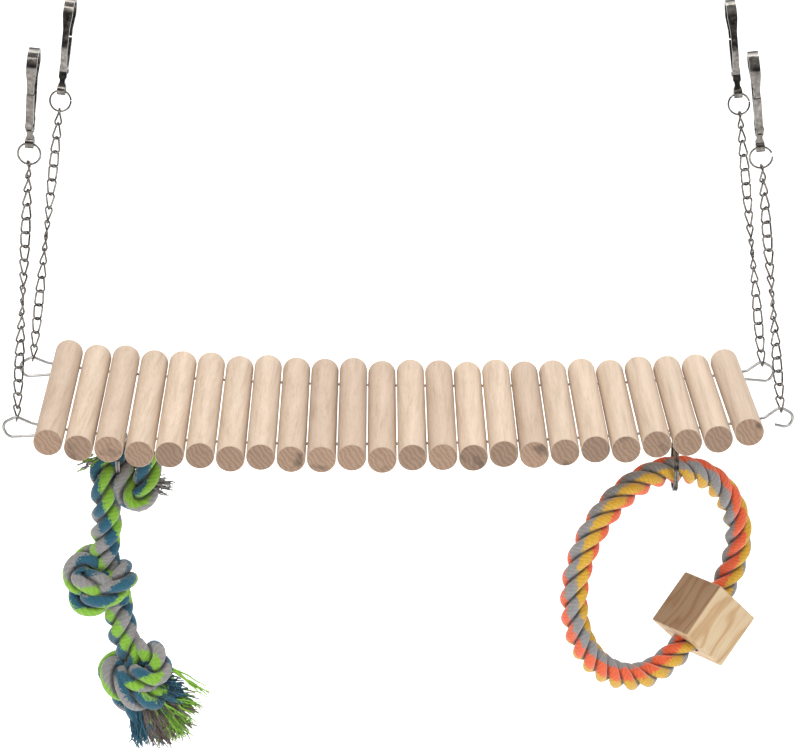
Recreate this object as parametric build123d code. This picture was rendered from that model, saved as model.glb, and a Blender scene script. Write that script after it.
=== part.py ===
from build123d import *
import math
import os

# A small hanging bridge for cage pets. Round wooden dowels are strung side by side on two steel
# wires. The wires end in loops, and each loop hangs on a chain, a jump ring and a snap hook.
# A knotted rope and a rope ring with a wooden block hang under the bridge.
# Frame: millimetres, +Z up, +X along the bridge, front at -Y. The origin is the middle of the
# four hooks at the height of the bars that they clip over.

# ---------------------------------------------------------------- dowels and wires
DOWEL_COUNT = 24
DOWEL_D = 16.0
DOWEL_LENGTH = 120.0
DOWEL_GAP = 0.62            # mean space between two neighbours
DOWEL_RIM = 1.0             # rounded rim of each dowel end
DRILL_SCATTER = 0.8         # how far the wire holes miss the dowel's axis
WIRE_D = 1.6
WIRE_INSET = 20.0           # wire centre to dowel end
WIRE_HOLE_PLAY = 0.35       # radial play of the wire in its hole
FRONT_SAG = 13.2
BACK_SAG = 11.0
SAG_FLATNESS = 0.62         # a higher share makes the middle of the bridge flatter
WIRE_LEAD = 0.8             # wire that shows before its loop begins
LOOP_LENGTH = 18.5
LOOP_HEIGHT = 12.8
LOOP_RISE = {"left": 0.15, "right": 0.34}   # loop's top above the wire, as a share of its height
WIRE_SKEW = 2.2             # front wire to the right of the back wire

# ---------------------------------------------------------------- hangers
EYE_X = 191.7               # hook eyes from the middle, along the bridge
EYE_Y = 62.1                # hook eyes from the middle, across the bridge
CHAIN_LINKS = 18
EXTRA_LINK_CORNER = "front_left"
LINK_WIRE_D = 1.1
LINK_WIDTH = 6.6            # outside
LINK_STEP = 8.1            # from one link to the next
LINK_PLAY = 0.06            # slack between two links of one chain
LINK_TWIST = 72.0           # between the two ends of one link
CHAIN_TURN = 18.0           # from one link to the next
PIVOT_PLAY = 0.3            # slack where two moving pieces hang in each other
LOOP_PLAY = 0.6             # slack between the last link and the wire loop
RING_D = 13.0               # jump ring, outside
RING_WIRE_D = 1.1
RING_SLIT = 0.3
OPENED_RING_SLIT = 2.4      # one jump ring is bent open a little

# ---------------------------------------------------------------- snap hook
BAR_R = 6.5                 # inner bend that sits over the cage bar
HOOK_BAND = 2.4             # thickness of the hook's curved band
HOOK_REACH = 52.5           # eye centre to the outside of the bend
EYE_BORE_R = 1.7
EYE_R = 3.1
RING_IN_EYE = 0.45          # the ring's wire lies this far below the eye's centre
NECK_TOP = 7.0
COLLAR_TOP = 12.6
GATE_WIDTH = 4.0
GATE_WALL = 0.7
GATE_PIVOT = (3.2, 10.4)    # across and up from the eye
GATE_TIP = (7.3, 29.6)
ROOT_TAB_R = 2.1
ROOT_TAB_WIDTH = 2.2
RIVET_D = 1.5
RIVET_PLAY = 0.05

# ---------------------------------------------------------------- what hangs underneath
ROPE_DOWEL = 3
RING_DOWEL = 22
SCREW_WIRE_D = 1.8
SCREW_EYE_R = 4.2           # mean radius of the screw eye
SCREW_NECK = 8.0            # shank between the dowel and the eye
SCREW_DEPTH = 5.0
SPLIT_RING_WIRE = 1.4       # each of the two coils
SPLIT_RING_PLAY = 0.15
ROPE_SPLIT_RING_D = 22.0
RING_ROPE_D = 16.0
RING_SPLIT_RING_D = RING_ROPE_D + 13.0   # room round the rope for the ring to swing
RING_ROPE_R = 62.5          # centreline of the rope ring
RING_SEAT = 2.4             # rope's middle below the middle of its split ring
RING_YAW = 37.0             # turn of the rope ring's plane about the vertical
RING_HANG_ANGLE = 8.8       # from the ring's top round to where it hangs
RING_CORNERS = 12
BLOCK_SIDE = 35.0
BLOCK_EDGE = 1.2
BLOCK_ANGLE = 136.0         # from the ring's top round to the block
BLOCK_RADIUS = 51.5         # block's middle from the ring's middle
BLOCK_TWIST = 7.5           # turn of the block about the rope
BLOCK_BORE_PLAY = 0.25
KNOT_ROPE_D = 17.5
KNOT_SIZES = ((42, 38, 40), (47, 40, 43), (50, 41, 43))
KNOT_PLACES = ((2, 0, -38), (-16, 0, -99.5), (5, 0, -161))
KNOT_RING_ROOM = 0.3
TASSEL_LENGTH = 30.0
TASSEL_TOP_R = 12.0
TASSEL_FOOT_R = 25.0
TASSEL_LEAN = 20.0

CORNERS = {
    "front_left": (-1, -1), "front_right": (1, -1),
    "back_left": (-1, 1), "back_right": (1, 1),
}
DOWEL_PITCH = DOWEL_D + DOWEL_GAP
WIRE_Y = DOWEL_LENGTH / 2 - WIRE_INSET
WIRE_END_X = DOWEL_PITCH * (DOWEL_COUNT - 1) / 2 + DOWEL_D / 2 + WIRE_LEAD
RING_R = (RING_D - RING_WIRE_D) / 2
LINK_SPAN = LINK_STEP + LINK_PLAY + LINK_WIRE_D
BEND_CENTRE = HOOK_REACH - HOOK_BAND - BAR_R
FIRST_LINK_TOP = 2 * RING_R + RING_IN_EYE - (RING_WIRE_D + LINK_WIRE_D) / 2 - PIVOT_PLAY
END_LINK_PLAY = PIVOT_PLAY - LINK_PLAY

os.makedirs("parts", exist_ok=True)


# ---------------------------------------------------------------- hanging geometry
def link_count(corner):
    return CHAIN_LINKS + (1 if corner == EXTRA_LINK_CORNER else 0)


def hang_length(corner):
    """Distance from the hook's eye down to the wire loop."""
    last_top = FIRST_LINK_TOP + (link_count(corner) - 1) * LINK_STEP
    if corner == EXTRA_LINK_CORNER:
        last_top -= END_LINK_PLAY
    return last_top + LINK_SPAN - (LINK_WIRE_D + WIRE_D) / 2 - LOOP_PLAY


def wire_loop(end, along, rise, shut=True):
    """A teardrop loop beyond the wire's end, in the wire's own upright plane."""
    up = Vector(-along.Z, 0, along.X) * (1 if along.X > 0 else -1)
    tail = (-0.06, rise - 0.68) if shut else (0.36, rise - 0.74)
    places = [(0.12, 0.0), (0.60, rise), (1.0, rise - 0.49), (0.73, rise - 1.0), tail]
    corners = [end + along * (LOOP_LENGTH * a) + up * (LOOP_HEIGHT * b) for a, b in places]
    radii = [LOOP_HEIGHT * share for share in (0.26, 0.34, 0.33, 0.32)]
    return FilletPolyline(end, *corners, radius=radii)


def wire_run(y, left_z, right_z, sag):
    shift = -WIRE_SKEW / 2 * y / WIRE_Y
    left, right = (shift - WIRE_END_X, y, left_z), (shift + WIRE_END_X, y, right_z)
    pull = WIRE_END_X * SAG_FLATNESS
    low_left, low_right = left_z - sag / 0.75, right_z - sag / 0.75
    return Bezier(left, (shift - pull, y, low_left), (shift + pull, y, low_right), right)


def wire_pieces(side, ends):
    """The sagging run and its two end loops; only the front right loop is left open."""
    y = WIRE_Y * (-1 if side == "front" else 1)
    sag = FRONT_SAG if side == "front" else BACK_SAG
    run = wire_run(y, ends[side + "_left"], ends[side + "_right"], sag)
    left = wire_loop(run @ 0, (run % 0) * -1, LOOP_RISE["left"])
    right = wire_loop(run @ 1, run % 1, LOOP_RISE["right"], shut=side == "back")
    return run, left, right


def top_of(curve):
    return max((curve @ (step / 300) for step in range(301)), key=lambda point: point.Z)


def eye_point(corner):
    sx, sy = CORNERS[corner]
    return Vector(sx * EYE_X, sy * EYE_Y, EYE_Z)


def settle_bridge():
    """Heights of the four wire ends at which every chain is just straight."""
    ends = {corner: EYE_Z - hang_length(corner) for corner in CORNERS}
    for _ in range(4):
        for side in ("front", "back"):
            _, left, right = wire_pieces(side, ends)
            for corner, loop in ((side + "_left", left), (side + "_right", right)):
                top = top_of(loop)
                eye = eye_point(corner)
                flat = math.hypot(top.X - eye.X, top.Y - eye.Y)
                drop = math.sqrt(hang_length(corner) ** 2 - flat ** 2)
                ends[corner] += eye.Z - drop - top.Z
    return ends


def eye_height():
    """Height of the eyes that puts the bars at height zero."""
    flat = math.hypot(WIRE_END_X + 0.53 * LOOP_LENGTH - EYE_X, EYE_Y - WIRE_Y)
    lean = flat / hang_length("back_left")
    return -BEND_CENTRE * math.sqrt(1 - lean ** 2)


EYE_Z = eye_height()
WIRE_ENDS = settle_bridge()
WIRES = {side: wire_pieces(side, WIRE_ENDS) for side in ("front", "back")}


def hanger_plane(corner):
    """A plane at the hook's eye: its Z runs up the hanging line, its X along the bridge."""
    _, left, right = WIRES[corner.split("_")[0]]
    top = top_of(left if corner.endswith("left") else right)
    eye = eye_point(corner)
    up = (eye - top).normalized()
    level = (Vector(1, 0, 0) - up * up.X).normalized()
    return Plane(origin=eye, x_dir=level, z_dir=up)


HANGERS = {corner: hanger_plane(corner) for corner in CORNERS}


# ---------------------------------------------------------------- bridge
def wire(side):
    run, left, right = WIRES[side]
    path = Wire([*left.edges(), *run.edges(), *right.edges()])
    start = Plane(origin=path @ 0, z_dir=path % 0)
    return sweep(start * Circle(WIRE_D / 2), path=path)


def wire_place(side, x):
    """Point and slope of a wire's run at a place along the bridge."""
    run = WIRES[side][0]
    x = x + (WIRE_SKEW if side == "front" else -WIRE_SKEW) / 2
    share = (x - (run @ 0).X) / (2 * WIRE_END_X)
    for _ in range(3):
        share -= ((run @ share).X - x) / (2 * WIRE_END_X)
    return run @ share, run % share


def dowel_plane(number):
    """The plane at a dowel's middle whose Z runs along the dowel."""
    x = (number - (DOWEL_COUNT + 1) / 2) * DOWEL_PITCH
    front, _ = wire_place("front", x)
    back, _ = wire_place("back", x)
    rise = DRILL_SCATTER * math.sin(2.4 * number + 0.7)
    middle = (front + back) * 0.5 + Vector(0, 0, rise)
    return Plane(origin=middle, x_dir=(1, 0, 0), z_dir=back - front)


def wire_hole(side, x):
    point, slope = wire_place(side, x)
    return Plane(origin=point, z_dir=slope) * Cylinder(WIRE_D / 2 + WIRE_HOLE_PLAY, DOWEL_D * 1.5)


def dowel(number):
    plane = dowel_plane(number)
    rod = Cylinder(DOWEL_D / 2, DOWEL_LENGTH)
    rod = plane * fillet(rod.edges().filter_by(GeomType.CIRCLE), DOWEL_RIM)
    rod = rod - wire_hole("front", plane.origin.X) - wire_hole("back", plane.origin.X)
    if number in (ROPE_DOWEL, RING_DOWEL):
        rod = rod - screw_shank(number)
    return rod


# ---------------------------------------------------------------- chains and rings
def link():
    """One curb link on the Z axis. Its two ends are turned against each other."""
    half = (LINK_WIDTH - LINK_WIRE_D) / 2
    turn = math.radians(LINK_TWIST / 2)
    a, b, h = half * math.cos(turn), half * math.sin(turn), LINK_SPAN / 2
    path = FilletPolyline((0, 0, h), (-a, -b, h), (-a, b, -h), (0, 0, -h), radius=half * 0.75)
    start = Plane(origin=path @ 0, z_dir=path % 0)
    side = sweep(start * Circle(LINK_WIRE_D / 2), path=path)
    return side + Rot(0, 0, 180) * side


LINK = link()


def link_place(corner, index):
    """Place of one link, counted down from the ring; the last one stands edge-on."""
    drop = FIRST_LINK_TOP + index * LINK_STEP + LINK_SPAN / 2
    if corner == EXTRA_LINK_CORNER and index == link_count(corner) - 1:
        drop -= END_LINK_PLAY
    last_turn = 90 + LINK_TWIST / 2
    turn = last_turn + (link_count(corner) - 1 - index) * CHAIN_TURN
    return HANGERS[corner] * Pos(0, 0, -drop) * Rot(0, 0, turn)


def chain(corner):
    count = link_count(corner) - (1 if corner == EXTRA_LINK_CORNER else 0)
    return Compound(children=[link_place(corner, index) * LINK for index in range(count)])


def end_link():
    return link_place(EXTRA_LINK_CORNER, link_count(EXTRA_LINK_CORNER) - 1) * LINK


def jump_ring(corner):
    """A split ring of round wire that hangs in the hook's eye; its slit is at the side."""
    slit = OPENED_RING_SLIT if corner == "front_right" else RING_SLIT
    gap = math.degrees(slit / RING_R)
    start = Pos(RING_R, 0, 0) * Plane.XZ * Circle(RING_WIRE_D / 2)
    body = Rot(0, 0, 8 + gap / 2) * revolve(start, Axis.Z, 360 - gap)
    return HANGERS[corner] * Pos(0, 0, -RING_IN_EYE - RING_R) * Rot(90, 0, 0) * body


# ---------------------------------------------------------------- snap hook
def hook_place(corner):
    """The gate side of every hook faces away from the bridge."""
    return HANGERS[corner] * Rot(0, 0, 0 if CORNERS[corner][1] > 0 else 180)


def side_outline():
    """The hook seen along the bar, drawn in the YZ plane: band, neck and eye."""
    mean = BAR_R + HOOK_BAND / 2
    spine = FilletPolyline(
        (0, 0, NECK_TOP - 1), (0, -0.6, COLLAR_TOP - 2), (0, -mean + 1.2, COLLAR_TOP + 9),
        (0, -mean, BEND_CENTRE), radius=[6, 18],
    )
    bend = ThreePointArc((0, -mean, BEND_CENTRE), (0, 0, BEND_CENTRE + mean), (0, mean, BEND_CENTRE))
    nose = Line((0, mean, BEND_CENTRE), (0, mean - 0.5, GATE_TIP[1] + 0.7))
    return spine, bend, nose


def hook_body():
    spine, bend, nose = side_outline()
    path = Wire([*spine.edges(), *bend.edges(), *nose.edges()])
    start = Plane(origin=path @ 0, x_dir=(1, 0, 0), z_dir=path % 0)
    band = sweep(start * Rectangle(8, HOOK_BAND), path=path, transition=Transition.ROUND)
    neck = Pos(0, 0, NECK_TOP / 2) * Box(8, 3.4, NECK_TOP)
    collar = Pos(0, -0.4, (NECK_TOP + COLLAR_TOP) / 2) * Box(8, 3.0, COLLAR_TOP - NECK_TOP)
    eye = Rot(0, 90, 0) * Cylinder(EYE_R, 8)
    solid = band + neck + collar + eye
    half = [
        (2.3, -EYE_R - 1), (2.3, 2.4), (1.5, 4.0), (1.5, NECK_TOP - 1.2), (2.2, NECK_TOP),
        (2.2, COLLAR_TOP), (1.75, COLLAR_TOP + 2), (1.75, BEND_CENTRE - 9), (2.7, BEND_CENTRE - 1),
        (2.7, HOOK_REACH + 1),
    ]
    outline = [(u, 0, w) for u, w in half] + [(-u, 0, w) for u, w in reversed(half)]
    silhouette = extrude(make_face(Polyline(*outline, close=True)), 20, both=True)
    solid = solid & silhouette
    across, up = GATE_PIVOT
    tab = Rot(0, 90, 0) * Cylinder(ROOT_TAB_R, ROOT_TAB_WIDTH)
    arm = Pos(0, -across / 2, 0) * Box(ROOT_TAB_WIDTH, across, 2 * ROOT_TAB_R)
    solid = solid + Pos(0, across, up) * (tab + arm)
    solid = solid - Pos(0, across, up) * Rot(0, 90, 0) * Cylinder(RIVET_D / 2, 10)
    return solid - Rot(0, 90, 0) * Cylinder(EYE_BORE_R, 12)


def gate_rivet():
    """Through the root's tab and both cheeks of the gate, with a flat head at each end."""
    shank = Cylinder(RIVET_D / 2, GATE_WIDTH + 0.3)
    head = Cylinder(RIVET_D * 0.85, 0.4)
    heads = Pos(0, 0, GATE_WIDTH / 2 + 0.3) * head + Pos(0, 0, -GATE_WIDTH / 2 - 0.3) * head
    return Pos(0, *GATE_PIVOT) * Rot(0, 90, 0) * (shank + heads)


def gate():
    """A folded channel: two cheeks and an outer wall, hung on the rivet, tip under the nose."""
    (y0, z0), (y1, z1) = GATE_PIVOT, GATE_TIP
    back = 2.4
    outline = [
        (0, y0 - 1.7, z0 - 1.2), (0, y0 + back - 0.6, z0 - 1.9), (0, y0 + back + 0.4, z0 + 1.5),
        (0, y1 + 1.0, z1 - 1.0), (0, y1 + 0.9, z1), (0, y1 - 1.9, z1), (0, y1 - 2.1, z1 - 2),
        (0, y0 + 0.9, z0 + 5), (0, y0 - 1.0, z0 + 1.2),
    ]
    body = extrude(make_face(Polyline(*outline, close=True)), GATE_WIDTH / 2, both=True, dir=(1, 0, 0))
    channel = extrude(
        make_face(Polyline(*[(0, y - GATE_WALL, z - 0.05) for _, y, z in outline], close=True)),
        GATE_WIDTH / 2 - GATE_WALL, both=True, dir=(1, 0, 0),
    )
    foot = Pos(0, y0, z0 - 1.5) * Box(GATE_WIDTH - 2 * GATE_WALL, 2 * back + 2, 3.4)
    room = Pos(0, y0, z0) * Rot(0, 90, 0) * Cylinder(ROOT_TAB_R + 0.3, GATE_WIDTH - 2 * GATE_WALL)
    bore = Pos(0, y0, z0) * Rot(0, 90, 0) * Cylinder(RIVET_D / 2 + RIVET_PLAY, 10)
    return body - channel - foot - room - bore


HOOK = hook_body()
GATE = gate()
RIVET = gate_rivet()


# ---------------------------------------------------------------- what hangs underneath
def screw_point(number):
    """Centre of the screw eye under a dowel."""
    low = dowel_plane(number).origin - Vector(0, 0, DOWEL_D / 2)
    return low - Vector(0, 0, SCREW_NECK + SCREW_EYE_R + SCREW_WIRE_D / 2)


def screw_shank(number):
    length = SCREW_DEPTH + SCREW_NECK + SCREW_WIRE_D
    middle = screw_point(number) + Vector(0, 0, SCREW_EYE_R + length / 2 - SCREW_WIRE_D / 2)
    return Pos(*middle) * Cylinder(SCREW_WIRE_D / 2, length)


def screw_eye(number):
    """A wire eye that faces front, with a shank screwed up into the dowel."""
    eye = Rot(90, 0, 0) * Torus(SCREW_EYE_R, SCREW_WIRE_D / 2)
    return screw_shank(number) + Pos(*screw_point(number)) * eye


def split_ring_centre(number, size):
    """The ring's two coils rest on the bottom of the screw eye."""
    hole = SCREW_EYE_R - SCREW_WIRE_D / 2 - SPLIT_RING_PLAY
    seat = math.sqrt(hole ** 2 - SPLIT_RING_WIRE ** 2)
    return screw_point(number) - Vector(0, 0, seat + size / 2 - SPLIT_RING_WIRE)


def split_ring(number, size, room=0.0):
    """A key ring of two flat coils, side by side along X and touching each other."""
    mean = size / 2 - SPLIT_RING_WIRE / 2
    half = SPLIT_RING_WIRE / 2 + room
    coil = Cylinder(mean + half, SPLIT_RING_WIRE + 2 * room) - Cylinder(mean - half, 10)
    if room == 0.0:
        coil = fillet(coil.edges(), SPLIT_RING_WIRE * 0.3)
    coils = [Pos(0, 0, side * SPLIT_RING_WIRE / 2) * coil for side in (-1, 1)]
    place = Pos(*split_ring_centre(number, size)) * Rot(0, 90, 0)
    return Compound(children=[place * piece for piece in coils])


def bend_radii(points):
    """The largest tangent arcs that leave a little straight rope between two bends."""
    radii = []
    for before, here, after in zip(points, points[1:], points[2:]):
        run_in, run_out = Vector(*here) - Vector(*before), Vector(*after) - Vector(*here)
        half_turn = math.radians(run_in.get_angle(run_out)) / 2
        radii.append(0.45 * min(run_in.length, run_out.length) / math.tan(half_turn))
    return radii


def ring_plane():
    """The rope ring's own plane: X to the right and back, Y up, centred on the ring."""
    hang = math.radians(RING_HANG_ANGLE)
    right = Vector(math.cos(math.radians(RING_YAW)), math.sin(math.radians(RING_YAW)), 0)
    rope_top = split_ring_centre(RING_DOWEL, RING_SPLIT_RING_D) - Vector(0, 0, RING_SEAT)
    centre = rope_top - right * (RING_ROPE_R * math.sin(hang))
    centre = centre - Vector(0, 0, RING_ROPE_R * math.cos(hang))
    return Plane(origin=centre, x_dir=right, z_dir=right.cross(Vector(0, 0, 1)))


RING_PLANE = ring_plane()


def ring_spot(angle, radius):
    """A place in the ring's plane, by the angle from its top, to the right."""
    turn = math.radians(angle)
    return RING_PLANE.from_local_coords(Vector(radius * math.sin(turn), radius * math.cos(turn), 0))


def ring_route():
    """Once round from the block's middle back to it; the block holds a straight stretch."""
    step = 28.0
    first = (360 - (RING_CORNERS - 1) * step) / 2
    corner_r = RING_ROPE_R / math.cos(math.radians(step / 2))
    corners = []
    for index in range(RING_CORNERS):
        at_block = index in (0, RING_CORNERS - 1)
        radius = BLOCK_RADIUS / math.cos(math.radians(first)) if at_block else corner_r
        corners.append(ring_spot(BLOCK_ANGLE + first + index * step, radius))
    middle = ring_spot(BLOCK_ANGLE, BLOCK_RADIUS)
    start = middle + (corners[0] - middle).normalized() * 0.3
    end = middle + (corners[-1] - middle).normalized() * 0.3
    return [start, *corners, end]


def rope_ring():
    points = ring_route()
    path = FilletPolyline(*points, radius=bend_radii(points))
    start = Plane(origin=path @ 0, z_dir=path % 0)
    return sweep(start * Circle(RING_ROPE_D / 2), path=path)


def block():
    """A cube threaded on the rope ring; both rope ends are glued in its bore."""
    along = (ring_spot(BLOCK_ANGLE + 5, 60) - ring_spot(BLOCK_ANGLE - 5, 60)).normalized()
    place = Plane(origin=ring_spot(BLOCK_ANGLE, BLOCK_RADIUS), x_dir=RING_PLANE.z_dir, z_dir=along)
    cube = fillet(Box(BLOCK_SIDE, BLOCK_SIDE, BLOCK_SIDE).edges(), BLOCK_EDGE)
    cube = Rot(0, 0, BLOCK_TWIST) * cube
    return place * (cube - Cylinder(RING_ROPE_D / 2 + BLOCK_BORE_PLAY, BLOCK_SIDE * 2))


def knot_middle(index):
    x, y, z = KNOT_PLACES[index]
    return screw_point(ROPE_DOWEL) + Vector(x, y, z + SCREW_EYE_R * 2)


def knotted_rope():
    """A thick rope with three knots; the top knot is tied round the split ring."""
    route = [knot_middle(0), knot_middle(1), knot_middle(2)]
    bow = [route[0], route[0] + Vector(-9, 0, -32), route[1], route[1] + Vector(11, 0, -30), route[2]]
    path = FilletPolyline(*bow, radius=bend_radii(bow))
    start = Plane(origin=path @ 0, z_dir=path % 0)
    solid = sweep(start * Circle(KNOT_ROPE_D / 2), path=path)
    for index, size in enumerate(KNOT_SIZES):
        solid = solid + Pos(*knot_middle(index)) * scale(Sphere(0.5), by=size)
    return solid - split_ring(ROPE_DOWEL, ROPE_SPLIT_RING_D, KNOT_RING_ROOM)


def tassel():
    """The combed-out end of the rope, which spreads and leans under the lowest knot."""
    top = knot_middle(2) - Vector(-5, 0, KNOT_SIZES[2][2] / 2 - 6)
    foot = top + Vector(TASSEL_LEAN, 0, -TASSEL_LENGTH)
    skirt = loft([
        Plane(origin=top) * Circle(TASSEL_TOP_R),
        Plane(origin=foot) * Ellipse(TASSEL_FOOT_R, TASSEL_FOOT_R * 0.62),
    ])
    return skirt - Pos(*knot_middle(2)) * scale(Sphere(0.5), by=tuple(d + 0.6 for d in KNOT_SIZES[2]))


# ---------------------------------------------------------------- the pieces
def write(name, shape):
    shape.label = name
    export_step(shape, f"parts/{name}.step")


for side in ("front", "back"):
    write(f"wire_{side}", wire(side))
for number in range(1, DOWEL_COUNT + 1):
    write(f"dowel_{number:02d}", dowel(number))
for corner in CORNERS:
    write(f"chain_{corner}", chain(corner))
    write(f"jump_ring_{corner}", jump_ring(corner))
    write(f"hook_{corner}", hook_place(corner) * HOOK)
    write(f"gate_{corner}", hook_place(corner) * GATE)
write("end_link_front_left", end_link())
write("gate_rivets", Compound(children=[hook_place(corner) * RIVET for corner in CORNERS]))
write("rope_screw_eye", screw_eye(ROPE_DOWEL))
write("ring_screw_eye", screw_eye(RING_DOWEL))
write("rope_split_ring", split_ring(ROPE_DOWEL, ROPE_SPLIT_RING_D))
write("ring_split_ring", split_ring(RING_DOWEL, RING_SPLIT_RING_D))
write("rope_ring", rope_ring())
write("block", block())
write("knotted_rope", knotted_rope())
write("rope_tassel", tassel())
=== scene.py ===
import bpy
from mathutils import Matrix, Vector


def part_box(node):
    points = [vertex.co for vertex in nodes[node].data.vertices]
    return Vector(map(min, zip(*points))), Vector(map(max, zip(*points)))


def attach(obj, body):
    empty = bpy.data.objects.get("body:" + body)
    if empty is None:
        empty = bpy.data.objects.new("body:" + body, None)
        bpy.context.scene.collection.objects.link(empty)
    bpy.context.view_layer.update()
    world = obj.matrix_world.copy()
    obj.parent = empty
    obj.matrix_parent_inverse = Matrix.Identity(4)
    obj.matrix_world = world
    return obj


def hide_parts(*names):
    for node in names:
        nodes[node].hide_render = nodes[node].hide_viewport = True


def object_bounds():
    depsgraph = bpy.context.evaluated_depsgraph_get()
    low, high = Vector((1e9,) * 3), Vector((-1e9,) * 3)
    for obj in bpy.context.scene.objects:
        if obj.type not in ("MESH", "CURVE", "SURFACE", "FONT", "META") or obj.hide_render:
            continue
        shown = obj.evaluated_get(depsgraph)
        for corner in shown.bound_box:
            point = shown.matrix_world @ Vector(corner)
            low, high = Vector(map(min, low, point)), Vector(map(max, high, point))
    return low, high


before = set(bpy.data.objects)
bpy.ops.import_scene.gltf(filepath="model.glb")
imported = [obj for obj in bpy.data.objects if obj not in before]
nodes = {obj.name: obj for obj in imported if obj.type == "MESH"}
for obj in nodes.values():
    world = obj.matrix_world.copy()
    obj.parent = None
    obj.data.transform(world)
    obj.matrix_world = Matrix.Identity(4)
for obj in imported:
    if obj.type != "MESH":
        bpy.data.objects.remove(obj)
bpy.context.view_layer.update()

import math
import bpy
import numpy as np
from mathutils import Vector

# ---------------------------------------------------------------- camera
# A long lens from a little above, the four hooks at the top edge of the picture.
scene = bpy.context.scene
scene.render.resolution_x, scene.render.resolution_y = 800, 748
scene.view_settings.view_transform = "Standard"
camera = bpy.data.objects.new("camera", bpy.data.cameras.new("camera"))
camera.data.sensor_width = 36
camera.data.lens = 126
camera.location = (0.0326, -1.4923, 0.3138)
camera.rotation_euler = (math.radians(90 - 18.69), 0, math.radians(1.18))
scene.collection.objects.link(camera)
scene.camera = camera

# ---------------------------------------------------------------- studio
# A pale floor that runs up into a wall, one large soft light and two smaller ones.
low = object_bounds()[0][2] - 0.06
profile = [(-3.0, low), (1.6, low)]
profile += [(1.6 + 1.4 * math.sin(a), low + 1.4 - 1.4 * math.cos(a)) for a in np.linspace(0.15, 1.57, 12)]
profile += [(3.0, low + 3.6)]
sweep = bpy.data.meshes.new("studio_floor")
sweep.from_pydata(
    [(x, y, z) for y, z in profile for x in (-4, 4)], [],
    [(2 * i, 2 * i + 1, 2 * i + 3, 2 * i + 2) for i in range(len(profile) - 1)],
)
for face in sweep.polygons:
    face.use_smooth = True
floor = bpy.data.objects.new("studio_floor", sweep)
scene.collection.objects.link(floor)
paper = bpy.data.materials.new("studio_paper")
paper.use_nodes = True
paper.node_tree.nodes["Principled BSDF"].inputs["Base Color"].default_value = (0.93, 0.93, 0.93, 1)
paper.node_tree.nodes["Principled BSDF"].inputs["Roughness"].default_value = 0.9
paper.node_tree.nodes["Principled BSDF"].inputs["Emission Color"].default_value = (1, 1, 1, 1)
paper.node_tree.nodes["Principled BSDF"].inputs["Emission Strength"].default_value = 0.45
sweep.materials.append(paper)

for name, place, power, width, colour in (
    ("key", (-0.9, -1.3, 1.5), 30, 1.2, (1.0, 0.98, 0.95)),
    ("fill", (1.5, -1.2, 0.5), 12, 1.0, (0.95, 0.97, 1.0)),
    ("top", (0.2, 0.9, 1.7), 30, 1.4, (1.0, 1.0, 1.0)),
):
    light = bpy.data.objects.new(name, bpy.data.lights.new(name, "AREA"))
    light.data.energy = power
    light.data.size = width
    light.data.color = colour
    light.location = place
    light.rotation_euler = (Vector((0, 0, -0.2)) - Vector(place)).to_track_quat("-Z", "Y").to_euler()
    scene.collection.objects.link(light)

world = bpy.data.worlds.new("studio")
scene.world = world
world.use_nodes = True
tree = world.node_tree
back = tree.nodes["Background"]
where = tree.nodes.new("ShaderNodeTexCoord")
split = tree.nodes.new("ShaderNodeSeparateXYZ")
ramp = tree.nodes.new("ShaderNodeValToRGB")
tree.links.new(where.outputs["Generated"], split.inputs[0])
shift = tree.nodes.new("ShaderNodeMath")
shift.operation = "MULTIPLY_ADD"
shift.inputs[1].default_value = 0.5
shift.inputs[2].default_value = 0.5
tree.links.new(split.outputs["Z"], shift.inputs[0])
tree.links.new(shift.outputs[0], ramp.inputs[0])
tree.links.new(ramp.outputs[0], back.inputs[0])
for place, grey in ((0.25, 0.30), (0.46, 0.22), (0.56, 0.16), (0.66, 0.40), (0.80, 0.8)):
    stop = ramp.color_ramp.elements.new(place)
    stop.color = (grey, grey, grey, 1)
back.inputs["Strength"].default_value = 0.6


# ---------------------------------------------------------------- dowels
# Planed beech rods. Long pores run along the rod; each rod has its own shade and offset. The sawn
# ends are darker, with faint rings and a few dark specks.
DOWEL_PITCH = 0.01662


def node_adder(tree):
    """A short way to add a node to this tree, with its settings, links and socket values."""
    def add(kind, *links, **values):
        node = tree.nodes.new("ShaderNode" + kind)
        for key, value in values.items():
            setattr(node, key, value)
        for socket, source in links:
            if hasattr(source, "is_output"):
                tree.links.new(source, node.inputs[socket])
            else:
                node.inputs[socket].default_value = source
        return node

    return add


def new_material(name, roughness, metallic=0.0):
    """A principled material and a short way to add nodes to it."""
    material = bpy.data.materials.new(name)
    material.use_nodes = True
    tree = material.node_tree
    shader = tree.nodes["Principled BSDF"]
    shader.inputs["Roughness"].default_value = roughness
    shader.inputs["Metallic"].default_value = metallic
    return material, tree, shader, node_adder(tree)


def ramp_stops(node, stops):
    """Gives a colour ramp its stops, from (place, colour) pairs."""
    elements = node.color_ramp.elements
    while len(elements) > 1:
        elements.remove(elements[-1])
    elements[0].position, elements[0].color = stops[0][0], (*stops[0][1], 1)
    for place, colour in stops[1:]:
        elements.new(place).color = (*colour, 1)


def paint(names, material):
    """Puts one material on CAD nodes."""
    for name in names:
        mesh = nodes[name].data
        mesh.materials.clear()
        mesh.materials.append(material)


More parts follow.
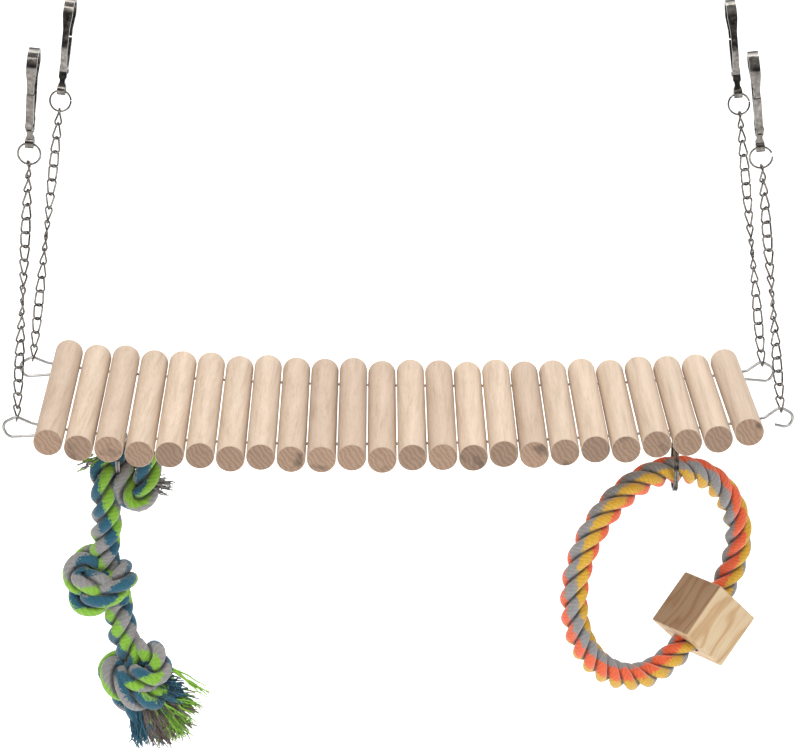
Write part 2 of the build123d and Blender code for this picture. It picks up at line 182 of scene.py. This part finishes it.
wood, tree, shader, add = new_material("pale_wood", 0.62)
spot = add("TexCoord")
xyz = add("SeparateXYZ", (0, spot.outputs["Object"]))
number = add("Math", (0, xyz.outputs["X"]), (1, 1 / DOWEL_PITCH), operation="MULTIPLY")
number = add("Math", (0, number.outputs[0]), operation="FLOOR")
own = add("TexWhiteNoise", ("W", number.outputs[0]), noise_dimensions="1D")
offset = add("VectorMath", (0, spot.outputs["Object"]), (1, own.outputs["Color"]), operation="ADD")
along = add("Mapping", ("Vector", offset.outputs[0]), ("Scale", (330, 7, 330)))
grain = add("TexNoise", ("Vector", along.outputs[0]), ("Scale", 1.0), ("Detail", 5.0), ("Roughness", 0.6))
fine = add("Mapping", ("Vector", offset.outputs[0]), ("Scale", (1500, 45, 1500)))
pores = add("TexNoise", ("Vector", fine.outputs[0]), ("Scale", 1.0), ("Detail", 3.0))
colour = add("ValToRGB", (0, grain.outputs[0]))
ramp_stops(colour, [
    (0.30, (0.45, 0.345, 0.26)), (0.45, (0.53, 0.42, 0.325)),
    (0.58, (0.56, 0.45, 0.355)), (0.72, (0.60, 0.485, 0.39)),
])
pore_mask = add("ValToRGB", (0, pores.outputs[0]))
ramp_stops(pore_mask, [(0.34, (0.84, 0.80, 0.76)), (0.48, (1, 1, 1))])
side = add("Mix", (0, 0.55), (6, colour.outputs[0]), (7, pore_mask.outputs[0]),
           data_type="RGBA", blend_type="MULTIPLY")
shade = add("ValToRGB", (0, own.outputs["Value"]))
ramp_stops(shade, [(0.0, (0.86, 0.80, 0.76)), (0.5, (1.0, 0.97, 0.93)), (1.0, (1.06, 1.02, 0.97))])
tinted = add("Mix", (0, 1.0), (6, side.outputs[2]), (7, shade.outputs[0]),
             data_type="RGBA", blend_type="MULTIPLY")
facing = add("SeparateXYZ", (0, spot.outputs["Normal"]))
end = add("Math", (0, facing.outputs["Y"]), operation="ABSOLUTE")
end = add("MapRange", ("Value", end.outputs[0]), ("From Min", 0.62), ("From Max", 0.9))
arc_place = add("Mapping", ("Vector", offset.outputs[0]), ("Rotation", (0.0, 0.6, 0.0)),
                ("Scale", (1, 0.05, 1)))
arcs = add("TexWave", ("Vector", arc_place.outputs[0]), ("Scale", 120.0), ("Distortion", 7.0),
           ("Detail", 3.0), ("Detail Scale", 1.5), wave_type="BANDS", bands_direction="X")
rings = add("TexNoise", ("Vector", offset.outputs[0]), ("Scale", 900.0), ("Detail", 4.0), ("Roughness", 0.6))
rings = add("Mix", (0, 0.6), (2, rings.outputs[0]), (3, arcs.outputs["Fac"]))
end_colour = add("ValToRGB", (0, rings.outputs[0]))
ramp_stops(end_colour, [(0.1, (0.25, 0.155, 0.10)), (0.5, (0.30, 0.195, 0.13)), (0.9, (0.35, 0.235, 0.16))])
patch = add("TexNoise", ("Vector", offset.outputs[0]), ("Scale", 85.0), ("Detail", 2.0))
patch = add("MapRange", ("Value", patch.outputs[0]), ("From Min", 0.62), ("From Max", 0.74),
            ("To Min", 1.0), ("To Max", 0.45))
end_shade = add("MapRange", ("Value", own.outputs["Value"]), ("To Min", 1.08), ("To Max", 0.74))
patch = add("Math", (0, patch.outputs[0]), (1, end_shade.outputs[0]), operation="MULTIPLY")
end_colour = add("VectorMath", (0, end_colour.outputs[0]), ("Scale", patch.outputs[0]), operation="SCALE")
whole = add("Mix", (0, end.outputs[0]), (6, tinted.outputs[2]), (7, end_colour.outputs[0]), data_type="RGBA")
tree.links.new(whole.outputs[2], shader.inputs["Base Color"])
relief = add("Bump", ("Strength", 0.25), ("Distance", 0.0004), ("Height", pores.outputs[0]))
tree.links.new(relief.outputs[0], shader.inputs["Normal"])
paint([f"dowel_{n:02d}" for n in range(1, 25)], wood)

# ---------------------------------------------------------------- chains, rings and hooks
# Stamped sheet and drawn wire under bright nickel plate that is a little uneven. The hooks, their gates
# and rivets, the jump rings, the chains and both split rings have it. Its tone is set dark, a painted dark
# reflection, and its rims darker still with painted shade where the metal is seen edge on.
CORNERS = ("front_left", "front_right", "back_left", "back_right")


def paint_rim_shade(tree, shader, add, tone, begin, end, face, rim):
    """Paints shade on a metal's rims, a painted dark reflection: scales its tone and its metalness from
    face, seen square on, to rim, seen edge on.
    """
    facing = add("LayerWeight", ("Blend", 0.5))
    share = add("MapRange", ("Value", facing.outputs["Facing"]), ("From Min", begin), ("From Max", end),
                ("To Min", face), ("To Max", rim))
    tone = add("VectorMath", (0, tone.outputs[0]), ("Scale", share.outputs[0]), operation="SCALE")
    tree.links.new(share.outputs[0], shader.inputs["Metallic"])
    tree.links.new(tone.outputs[0], shader.inputs["Base Color"])
    shader.inputs["Specular IOR Level"].default_value = 0.1


nickel, tree, shader, add = new_material("nickel", 0.14, metallic=1.0)
spot = add("TexCoord")
cloud = add("TexNoise", ("Vector", spot.outputs["Object"]), ("Scale", 420.0), ("Detail", 4.0))
tone = add("ValToRGB", (0, cloud.outputs[0]))
# Painted dark reflection: the tone sits far below bright nickel, with the plate's own unevenness in it.
ramp_stops(tone, [(0.3, (0.10, 0.09, 0.08)), (0.55, (0.20, 0.185, 0.17)), (0.75, (0.30, 0.285, 0.27))])
# Painted shade at the rims, where the plate is seen edge on.
paint_rim_shade(tree, shader, add, tone, begin=0.30, end=0.66, face=1.0, rim=0.03)
gloss = add("MapRange", ("Value", cloud.outputs[0]), ("From Min", 0.3), ("From Max", 0.7),
            ("To Min", 0.10), ("To Max", 0.26))
dent = add("Bump", ("Strength", 0.12), ("Distance", 0.0003), ("Height", cloud.outputs[0]))
tree.links.new(gloss.outputs[0], shader.inputs["Roughness"])
tree.links.new(dent.outputs[0], shader.inputs["Normal"])
paint([f"{kind}_{corner}" for corner in CORNERS for kind in ("hook", "gate", "jump_ring", "chain")], nickel)
paint(["end_link_front_left", "gate_rivets", "rope_split_ring", "ring_split_ring"], nickel)

# ---------------------------------------------------------------- wires and screw eyes
# Plain drawn steel wire with fine streaks along it. Two wires run through all the dowels and end in bent
# loops; two screw eyes of the same steel sit in the underside of a dowel near each end.
steel, tree, shader, add = new_material("steel_wire", 0.3, metallic=1.0)
spot = add("TexCoord")
drawn = add("Mapping", ("Vector", spot.outputs["Object"]), ("Scale", (60, 900, 900)))
streak = add("TexNoise", ("Vector", drawn.outputs[0]), ("Scale", 1.0), ("Detail", 3.0))
tone = add("ValToRGB", (0, streak.outputs[0]))
ramp_stops(tone, [(0.3, (0.26, 0.25, 0.24)), (0.6, (0.44, 0.43, 0.42))])
# Painted shade at the rims: the wire's tone and metalness fall where it is seen edge on, a painted dark
# reflection.
paint_rim_shade(tree, shader, add, tone, begin=0.22, end=0.60, face=0.9, rim=0.02)
rub = add("Bump", ("Strength", 0.15), ("Distance", 0.0002), ("Height", streak.outputs[0]))
tree.links.new(rub.outputs[0], shader.inputs["Normal"])
paint(["wire_front", "wire_back", "rope_screw_eye", "ring_screw_eye"], steel)


# ---------------------------------------------------------------- rope ring
# Three strands laid into a rope of 16 mm and bent into a ring. Each strand holds yarns of three
# colours, so the colours show as bands along one side of the rope and drift round it slowly.
MM = 0.001


def spline_line(name, points, samples_per_run=12):
    """Points along the smooth line that a route's corners control."""
    curve = bpy.data.curves.new(name, "CURVE")
    curve.dimensions = "3D"
    curve.resolution_u = samples_per_run
    spline = curve.splines.new("NURBS")
    spline.points.add(len(points) - 1)
    for target, place in zip(spline.points, points):
        target.co = (*place, 1)
    spline.order_u = 3
    spline.use_endpoint_u = True
    holder = bpy.data.objects.new(name, curve)
    mesh = bpy.data.meshes.new_from_object(holder)
    line = np.array([v.co[:] for v in mesh.vertices])
    bpy.data.objects.remove(holder)
    bpy.data.curves.remove(curve)
    bpy.data.meshes.remove(mesh)
    return line


def even(line, step):
    """The same line with its points one step apart, and the distance along it."""
    gaps = np.linalg.norm(np.diff(line, axis=0), axis=1)
    far = np.concatenate([[0], np.cumsum(gaps)])
    marks = np.linspace(0, far[-1], max(4, int(far[-1] / step)))
    return np.stack([np.interp(marks, far, line[:, k]) for k in range(3)], axis=1), marks


def side_vectors(line):
    """Two unit vectors across the line at each point, carried along without twist."""
    heading = np.gradient(line, axis=0)
    heading /= np.linalg.norm(heading, axis=1)[:, None]
    first = np.cross(heading[0], (0.31, 0.87, 0.38))
    sides = [first / np.linalg.norm(first)]
    for way in heading[1:]:
        side = sides[-1] - way * np.dot(way, sides[-1])
        sides.append(side / np.linalg.norm(side))
    sides = np.array(sides)
    return heading, sides, np.cross(heading, sides)


def tube_faces(count, ring, start=0):
    """Quads of a tube of so many rings, each of so many corners."""
    i = np.arange(count - 1)[:, None] * ring
    j = np.arange(ring)[None, :]
    k = (j + 1) % ring
    quads = np.stack([i + j, i + k, i + ring + k, i + ring + j], axis=-1)
    return quads.reshape(-1, 4) + start


def laid_rope(name, line, radius, lay, ring=14, step=0.0012, turn=0.0, swell=None):
    """A mesh of three laid strands round a line.

    Strand k runs at distance a = 0.53 R from the line, at the angle 2 pi (s / lay + k / 3). Its own
    section is a circle of 0.47 R, a little wider across. The attribute rope_place holds the distance
    along the rope and the angle in the strand; rope_side holds the way out from the rope's middle.
    """
    line, far = even(line, step)
    _, u, v = side_vectors(line)
    size = np.ones(len(line)) if swell is None else swell(line)
    verts, faces, place, side = [], [], [], []
    corner = np.linspace(0, 2 * np.pi, ring, endpoint=False)
    for k in range(3):
        theta = 2 * np.pi * (far / lay + k / 3) + turn
        out = np.cos(theta)[:, None] * u + np.sin(theta)[:, None] * v
        across = -np.sin(theta)[:, None] * u + np.cos(theta)[:, None] * v
        centre = line + out * (0.53 * radius * size)[:, None]
        start = sum(len(strand) for strand in verts)
        reach = 0.47 * radius * size
        ring_points = (
            centre[:, None, :]
            + out[:, None, :] * (np.cos(corner)[None, :, None] * reach[:, None, None])
            + across[:, None, :] * (np.sin(corner)[None, :, None] * 1.1 * reach[:, None, None])
        )
        verts.append(ring_points.reshape(-1, 3))
        faces.append(tube_faces(len(line), ring, start))
        rel = ring_points - line[:, None, :]
        wide, high = (rel * u[:, None, :]).sum(-1), (rel * v[:, None, :]).sum(-1)
        nothing = np.zeros(wide.shape)
        side.append(np.stack([wide, high, nothing], axis=-1).reshape(-1, 3) / radius)
        data = np.stack([nothing, nothing + far[:, None], nothing + corner[None, :] + k * 7], axis=-1)
        place.append(data.reshape(-1, 3))
    mesh = bpy.data.meshes.new(name)
    mesh.from_pydata(np.concatenate(verts).tolist(), [], np.concatenate(faces).tolist())
    for title, values in (("rope_place", place), ("rope_side", side)):
        layer = mesh.attributes.new(title, "FLOAT_VECTOR", "POINT")
        layer.data.foreach_set("vector", np.concatenate(values).astype(np.float32).ravel())
    mesh.polygons.foreach_set("use_smooth", [True] * len(mesh.polygons))
    piece = bpy.data.objects.new(name, mesh)
    scene.collection.objects.link(piece)
    return piece, line, far


def laid_yarns():
    """The shader group of laid cotton, used by both ropes.

    Band is the place among the colours, 0 to 1, by the angle round the rope. The bands turn to and fro
    along the rope: start + swing cos(speed s + phase), in turns. Yarns is the height of the fine yarns
    across each strand. Shade is painted shade: it darkens the colour between the yarns and in the grooves
    between the strands.
    """
    group = bpy.data.node_groups.new("laid_yarns", "ShaderNodeTree")
    for title in ("Speed", "Phase", "Swing", "Start"):
        group.interface.new_socket(title, in_out="INPUT", socket_type="NodeSocketFloat")
    for title in ("Band", "Shade", "Yarns"):
        group.interface.new_socket(title, in_out="OUTPUT", socket_type="NodeSocketFloat")
    add = node_adder(group)
    given = group.nodes.new("NodeGroupInput").outputs
    result = group.nodes.new("NodeGroupOutput").inputs
    cloth = add("TexCoord")
    read = add("Attribute", attribute_name="rope_place")
    part = add("SeparateXYZ", (0, read.outputs["Vector"]))
    out = add("Attribute", attribute_name="rope_side")
    # Painted shade in the grooves: the colour darkens where the surface lies nearer the rope's middle.
    groove_shade = add("VectorMath", (0, out.outputs["Vector"]), operation="LENGTH")
    groove_shade = add("MapRange", ("Value", groove_shade.outputs["Value"]), ("From Min", 0.58), ("From Max", 0.74),
                ("To Min", 0.40), ("To Max", 1.0))
    out = add("SeparateXYZ", (0, out.outputs["Vector"]))
    round_rope = add("Math", (0, out.outputs["Y"]), (1, out.outputs["X"]), operation="ARCTAN2")
    slow = add("Math", (0, part.outputs["Y"]), (1, given["Speed"]), (2, given["Phase"]),
               operation="MULTIPLY_ADD")
    slow = add("Math", (0, slow.outputs[0]), operation="COSINE")
    slow = add("Math", (0, slow.outputs[0]), (1, given["Swing"]), (2, given["Start"]),
               operation="MULTIPLY_ADD")
    angle = add("Math", (0, round_rope.outputs[0]), (1, 1 / math.pi), (2, slow.outputs[0]),
                operation="MULTIPLY_ADD")
    fuzz = add("TexNoise", ("Vector", cloth.outputs["Object"]), ("Scale", 700.0), ("Detail", 4.0))
    rough = add("Math", (0, fuzz.outputs[0]), (1, 0.34), (2, angle.outputs[0]), operation="MULTIPLY_ADD")
    band = add("Math", (0, rough.outputs[0]), operation="FRACT")
    lean = add("Math", (0, part.outputs["Z"]), (1, 2.2), operation="MULTIPLY")
    yarn = add("Math", (0, part.outputs["Y"]), (1, -2600.0), (2, lean.outputs[0]), operation="MULTIPLY_ADD")
    wave = add("Math", (0, yarn.outputs[0]), operation="SINE")
    wave = add("MapRange", ("Value", wave.outputs[0]), ("From Min", -1.0), ("From Max", 1.0))
    hair = add("TexNoise", ("Vector", cloth.outputs["Object"]), ("Scale", 1700.0), ("Detail", 5.0),
               ("Roughness", 0.75))
    lines = add("Mix", (0, 0.86), (2, wave.outputs[0]), (3, hair.outputs[0]))
    # Painted shade between the yarns, multiplied by the painted groove shade.
    dark = add("MapRange", ("Value", lines.outputs[0]), ("From Min", 0.25), ("From Max", 0.75),
               ("To Min", 0.58), ("To Max", 1.25))
    dark = add("Math", (0, dark.outputs[0]), (1, groove_shade.outputs[0]), operation="MULTIPLY")
    group.links.new(band.outputs[0], result["Band"])
    group.links.new(dark.outputs[0], result["Shade"])
    group.links.new(lines.outputs[0], result["Yarns"])
    return group


yarns_group = laid_yarns()


def rope_material(name, bands, speed, phase, swing, start):
    """Cotton rope in the given colours, each band a share of the way round."""
    material, tree, shader, add = new_material(name, 0.92)
    laid = add("Group", node_tree=yarns_group)
    for title, value in (("Speed", speed), ("Phase", phase), ("Swing", swing), ("Start", start)):
        laid.inputs[title].default_value = value
    colour = add("ValToRGB", (0, laid.outputs["Band"]))
    ramp_stops(colour, bands)
    final = add("VectorMath", (0, colour.outputs[0]), ("Scale", laid.outputs["Shade"]), operation="SCALE")
    relief = add("Bump", ("Strength", 0.6), ("Distance", 0.0005), ("Height", laid.outputs["Yarns"]))
    tree.links.new(final.outputs[0], shader.inputs["Base Color"])
    tree.links.new(relief.outputs[0], shader.inputs["Normal"])
    shader.inputs["Sheen Weight"].default_value = 0.35
    shader.inputs["Sheen Roughness"].default_value = 0.5
    return material


ORANGE, YELLOW, GREY = (0.80, 0.13, 0.045), (0.66, 0.38, 0.03), (0.27, 0.265, 0.265)
RING_ROPE_R = 62.5          # from the ring's centre to the middle of its rope
BLOCK_RADIUS = 51.5         # from the ring's centre to the middle of the block
BLOCK_ANGLE = 136           # from the top of the ring round to the block
CORNER_STEP = 28            # between two corners of the route
BLOCK_GAP = 26              # between the block and the corner on each side of it

split_low, split_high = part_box("ring_split_ring")
hang_point = Vector([(a + b) / 2 for a, b in zip(split_low, split_high)]) - Vector((0, 0, 2.4 * MM))
yaw, hang = math.radians(37.0), math.radians(8.8)
to_right = Vector((math.cos(yaw), math.sin(yaw), 0))
ring_middle = hang_point - to_right * (RING_ROPE_R * MM * math.sin(hang))
ring_middle = ring_middle - Vector((0, 0, RING_ROPE_R * MM * math.cos(hang)))


def ring_spot(angle, radius):
    """A place in the ring's plane, by the angle from its top, to the right."""
    turn = math.radians(angle)
    right, up = radius * MM * math.sin(turn), radius * MM * math.cos(turn)
    return ring_middle + to_right * right + Vector((0, 0, up))


corners = []
for index in range(12):
    radius = RING_ROPE_R / math.cos(math.radians(CORNER_STEP / 2))
    if index in (0, 11):
        radius = BLOCK_RADIUS / math.cos(math.radians(BLOCK_GAP))
    corners.append(ring_spot(BLOCK_ANGLE + BLOCK_GAP + CORNER_STEP * index, radius))
block_middle = ring_spot(BLOCK_ANGLE, BLOCK_RADIUS)
route = [
    block_middle + (corners[0] - block_middle).normalized() * 0.3 * MM, *corners,
    block_middle + (corners[-1] - block_middle).normalized() * 0.3 * MM,
]
ring_line = spline_line("ring_line", route, 24)
rope_ring, line, far = laid_rope("rope_ring_strands", ring_line, 8.0 * MM, 37 * MM)
rope_ring.data.materials.append(rope_material(
    "warm_rope",
    [(0.0, ORANGE), (0.31, ORANGE), (0.35, GREY), (0.64, GREY), (0.68, YELLOW), (0.96, YELLOW),
     (1.0, ORANGE)],
    speed=16.96, phase=-3.30, swing=0.66, start=-0.16,
))
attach(rope_ring, "rope_ring")
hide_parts("rope_ring")

# ---------------------------------------------------------------- block
# A sawn pine cube with soft edges: straight grain on two sides, broad flames on the others.
pine, tree, shader, add = new_material("block_wood", 0.6)
bore_way = (ring_spot(BLOCK_ANGLE + 5, 60) - ring_spot(BLOCK_ANGLE - 5, 60)).normalized()
flat_way = to_right.cross(Vector((0, 0, 1)))
side_way = bore_way.cross(flat_way)
twist = math.radians(7.5)
flat_way, side_way = (flat_way * math.cos(twist) + side_way * math.sin(twist),
                      side_way * math.cos(twist) - flat_way * math.sin(twist))
spot = add("TexCoord")
place = add("VectorMath", (0, spot.outputs["Object"]), (1, tuple(block_middle)), operation="SUBTRACT")
along = add("VectorMath", (0, place.outputs[0]), (1, tuple(bore_way)), operation="DOT_PRODUCT")
across = add("VectorMath", (0, place.outputs[0]), (1, tuple(flat_way)), operation="DOT_PRODUCT")
deep = add("VectorMath", (0, place.outputs[0]), (1, tuple(side_way)), operation="DOT_PRODUCT")
own = add("CombineXYZ", (0, along.outputs["Value"]), (1, across.outputs["Value"]),
          (2, deep.outputs["Value"]))
stretch = add("Mapping", ("Vector", own.outputs[0]), ("Scale", (14, 42, 42)))
warp = add("TexNoise", ("Vector", stretch.outputs[0]), ("Scale", 1.6), ("Detail", 1.0))
years = add("Math", (0, warp.outputs[0]), (1, 0.038), operation="MULTIPLY")
years = add("Math", (0, years.outputs[0]), (1, across.outputs["Value"]), operation="ADD")
years = add("Math", (0, years.outputs[0]), (1, 620.0), operation="MULTIPLY")
years = add("Math", (0, years.outputs[0]), operation="SINE")
fibre_map = add("Mapping", ("Vector", own.outputs[0]), ("Scale", (60, 1500, 1500)))
fibre = add("TexNoise", ("Vector", fibre_map.outputs[0]), ("Scale", 1.0), ("Detail", 3.0))
colour = add("MapRange", ("Value", years.outputs[0]), ("From Min", -1.0), ("From Max", 1.0))
colour = add("ValToRGB", (0, colour.outputs[0]))
ramp_stops(colour, [
    (0.0, (0.59, 0.45, 0.28)), (0.6, (0.57, 0.42, 0.255)),
    (0.9, (0.51, 0.34, 0.175)), (1.0, (0.47, 0.30, 0.15)),
])
# Painted shade: the two straight-grained faces, across side_way, are multiplied darker and browner to stand
# for the shade on them.
facing = add("VectorMath", (0, spot.outputs["Normal"]), (1, tuple(side_way)), operation="DOT_PRODUCT")
facing = add("Math", (0, facing.outputs["Value"]), operation="ABSOLUTE")
facing = add("MapRange", ("Value", facing.outputs[0]), ("From Min", 0.5), ("From Max", 0.8))
fleck = add("ValToRGB", (0, fibre.outputs[0]))
ramp_stops(fleck, [(0.35, (0.84, 0.79, 0.73)), (0.55, (1, 1, 1))])
both = add("Mix", (0, 0.7), (6, colour.outputs[0]), (7, fleck.outputs[0]),
           data_type="RGBA", blend_type="MULTIPLY")
painted_face_shade = add("Mix", (0, facing.outputs[0]), (6, (1, 1, 1, 1)), (7, (0.55, 0.47, 0.42, 1)), data_type="RGBA")
both = add("Mix", (0, 1.0), (6, both.outputs[2]), (7, painted_face_shade.outputs[2]),
           data_type="RGBA", blend_type="MULTIPLY")
tree.links.new(both.outputs[2], shader.inputs["Base Color"])
relief = add("Bump", ("Strength", 0.2), ("Distance", 0.0003), ("Height", fibre.outputs[0]))
tree.links.new(relief.outputs[0], shader.inputs["Normal"])
paint(["block"], pine)

# ---------------------------------------------------------------- knotted rope
# The same three-strand rope, a little thicker, in cold colours. It is tied round its split ring and
# knotted twice more; each knot takes one and a half turns round the rope before it goes on.
BLUE, LIME, TAUPE = (0.010, 0.10, 0.165), (0.22, 0.47, 0.035), (0.13, 0.10, 0.085)
ring_low, ring_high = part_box("rope_split_ring")
eye_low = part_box("rope_screw_eye")[0]
screw = Vector(((ring_low[0] + ring_high[0]) / 2, 0, eye_low[2] + 5.1 * MM))


def knot(middle, width, height, flip, spin, enter, leave):
    """Corners of a rope that winds into a knot, from above to below, in millimetres round its middle."""
    w, h = width / 2, height / 2
    spots = [
        (enter, 0.1, 1.25), (0.15, 0.25, 0.70), (0.10, 0.30, 0.10), (0.85, 0.50, 0.30),
        (1.05, -0.5, 0.25), (0.25, -1.05, -0.30), (-0.70, -0.75, -0.75), (-1.05, 0.2, -0.45),
        (-0.45, 0.95, 0.15), (0.35, 0.75, 0.55), (-0.20, 0.25, 0.90), (-0.95, -0.05, 0.80),
        (-1.10, -0.65, 0.20), (-0.45, -1.00, 0.20), (0.30, -0.45, 0.05), (0.75, 0.15, -0.50),
        (0.60, 0.20, -0.90), (leave, 0.0, -1.40),
    ]
    cos, sin = math.cos(spin), math.sin(spin)
    places = []
    for x, y, z in spots:
        x, y = (x * cos - y * sin) * flip, x * sin + y * cos
        places.append(middle + Vector((x * w, y * w * 0.78, z * h)) * MM)
    return places


# The upper end: a short tail beside the split ring, up, through the ring and down as the main rope.
rope_route = [screw + Vector(place) * MM for place in (
    (15, -2, -9), (17, -5, -24), (12, -8, -37), (3.5, -5, -33), (2, -2, -21), (3, 3, -11), (-2, 5, -10),
    (-9, 0, -16), (-9, -5, -28), (-8, -3, -43), (-9, -1, -58),
)]
knots = [
    (screw + Vector((-12.5, 0, -89)) * MM, 27, 31, 1, 0.0, 0.1, 0.7),
    (screw + Vector((5.5, 0, -148)) * MM, 30, 32, -1, 0.25, 0.5, -0.1),
]
for values in knots:
    rope_route += knot(*values)
rope_route.append(knots[1][0] + Vector((9, 0, -27)) * MM)
knot_levels = np.array([middle.z for middle, *_ in knots] + [screw.z - 28 * MM])


def pulled_tight(line):
    """The rope is thinner where a knot squeezes it: 1 - 0.1 exp(-(z / 15 mm)^2) round each knot."""
    near = np.abs(line[:, 2][:, None] - knot_levels[None, :]).min(axis=1)
    return 1 - 0.10 * np.exp(-(near / (15 * MM)) ** 2)


knotted_line = spline_line("knotted_line", rope_route, 14)
knotted_rope, *_ = laid_rope(
    "knotted_rope_strands", knotted_line, 9.1 * MM, 38 * MM, step=0.0015, swell=pulled_tight,
)
knotted_rope.data.materials.append(rope_material(
    "cool_rope",
    [(0.0, BLUE), (0.31, BLUE), (0.35, GREY), (0.64, GREY), (0.68, LIME), (0.96, LIME), (1.0, BLUE)],
    speed=38.0, phase=0.0, swing=0.6, start=0.0,
))
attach(knotted_rope, "knotted_rope")
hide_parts("knotted_rope")


# ---------------------------------------------------------------- tassel
# Below the last knot the rope is combed out into a thick bunch of soft yarns.
def bunch(name, roots, ways, lengths, colours, thickness, seed, waves=3.0, curl=2.2):
    """Three-sided yarns that hang from their roots.

    A yarn's point at the share t of its length L lies at root + way t L, pulled down by t^2, with a
    small wave of its own across. The attribute yarn_colour holds the yarn's colour.
    """
    rng = np.random.default_rng(seed)
    steps = 14
    t = np.linspace(0, 1, steps)
    verts, faces, tints = [], [], []
    corner = np.array([0, 2.094, 4.189])
    for root, way, length, tint in zip(roots, ways, lengths, colours):
        phase, speed = rng.uniform(0, 6.28, 2), rng.uniform(0.7, 1.3, 2) * waves
        size = rng.uniform(0.4, 1.0) * curl * MM
        x = root[0] + way[0] * length * t + size * t * np.sin(speed[0] * 3 * t + phase[0])
        y = root[1] + way[1] * length * t + size * t * np.sin(speed[1] * 3 * t + phase[1])
        z = root[2] + way[2] * length * t - 0.10 * length * t ** 2
        line = np.stack([x, y, z], axis=1)
        _, u, v = side_vectors(line)
        thick = thickness * (1 - 0.55 * t ** 3)
        ring = line[:, None, :] + thick[:, None, None] * (
            np.cos(corner)[None, :, None] * u[:, None, :] + np.sin(corner)[None, :, None] * v[:, None, :])
        start = len(verts) * steps * 3
        verts.append(ring.reshape(-1, 3))
        faces.append(tube_faces(steps, 3, start))
        tints.append(np.tile((*tint, 1.0), (steps * 3, 1)))
    mesh = bpy.data.meshes.new(name)
    mesh.from_pydata(np.concatenate(verts).tolist(), [], np.concatenate(faces).tolist())
    layer = mesh.attributes.new("yarn_colour", "FLOAT_COLOR", "POINT")
    layer.data.foreach_set("color", np.concatenate(tints).astype(np.float32).ravel())
    mesh.polygons.foreach_set("use_smooth", [True] * len(mesh.polygons))
    piece = bpy.data.objects.new(name, mesh)
    scene.collection.objects.link(piece)
    return piece


yarn, tree, shader, add = new_material("yarn", 0.9)
tint = add("Attribute", attribute_name="yarn_colour")
cloth = add("TexCoord")
hair = add("TexNoise", ("Vector", cloth.outputs["Object"]), ("Scale", 1500.0), ("Detail", 3.0))
light_and_dark = add("MapRange", ("Value", hair.outputs[0]), ("From Min", 0.3), ("From Max", 0.7),
                     ("To Min", 0.65), ("To Max", 1.15))
final = add("VectorMath", (0, tint.outputs["Color"]), ("Scale", light_and_dark.outputs[0]),
            operation="SCALE")
tree.links.new(final.outputs[0], shader.inputs["Base Color"])
relief = add("Bump", ("Strength", 0.5), ("Distance", 0.0003), ("Height", hair.outputs[0]))
tree.links.new(relief.outputs[0], shader.inputs["Normal"])
shader.inputs["Sheen Weight"].default_value = 0.3

rng = np.random.default_rng(7)
foot = knots[1][0] + Vector((6, 0, -16)) * MM
roots, ways, lengths, tints = [], [], [], []
for index in range(700):
    angle, out = rng.uniform(0, 2 * np.pi), math.sqrt(rng.uniform(0, 1))
    x, y = out * math.cos(angle), out * math.sin(angle)
    roots.append((foot[0] + 9 * MM * x, foot[1] + 8 * MM * y, foot[2] + rng.uniform(-1, 2) * MM))
    way = np.array([0.42 + 0.50 * x, 0.36 * y, -0.9])
    ways.append(way / np.linalg.norm(way))
    lengths.append(rng.uniform(17, 26) * MM)
    share = x + rng.normal(0, 0.16)
    base = BLUE if share < -0.30 else (TAUPE if share < 0.30 else (LIME if rng.random() < 0.6 else TAUPE))
    tints.append(np.array(base) * rng.uniform(0.8, 1.25))

# Side tufts: a lime and blue spray to the right, one long strand, and grey threads at the upper knot.
for count, place, aim, spread, reach, colours in (
    (150, (20, -2, -160), (0.90, 0.0, -0.42), 0.26, (12, 24), (LIME, LIME, TAUPE)),
    (110, (20, -4, -153), (0.85, -0.2, -0.10), 0.30, (8, 15), (BLUE,)),
    (7, (24, -5, -140), (0.90, -0.1, -0.50), 0.05, (25, 29), (LIME,)),
    (30, (19, -4, -26), (0.95, -0.1, -0.10), 0.35, (7, 12), ((0.10, 0.09, 0.09), GREY)),
    (26, (-15, -6, -12), (-0.75, -0.2, 0.15), 0.45, (4, 8), (LIME, GREY)),
):
    for index in range(count):
        jitter = rng.normal(0, 1, 3)
        loose = 0.6 if count < 10 else 2.2
        roots.append(tuple(screw[k] + (place[k] + jitter[k] * loose) * MM for k in range(3)))
        way = np.array(aim) + rng.normal(0, spread, 3)
        ways.append(way / np.linalg.norm(way))
        lengths.append(rng.uniform(*reach) * MM)
        tints.append(np.array(colours[index % len(colours)]) * rng.uniform(0.8, 1.25))
tassel = bunch("tassel_yarns", roots, ways, lengths, tints, 0.62 * MM, seed=3)
tassel.data.materials.append(yarn)
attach(tassel, "knotted_rope")
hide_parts("rope_tassel")
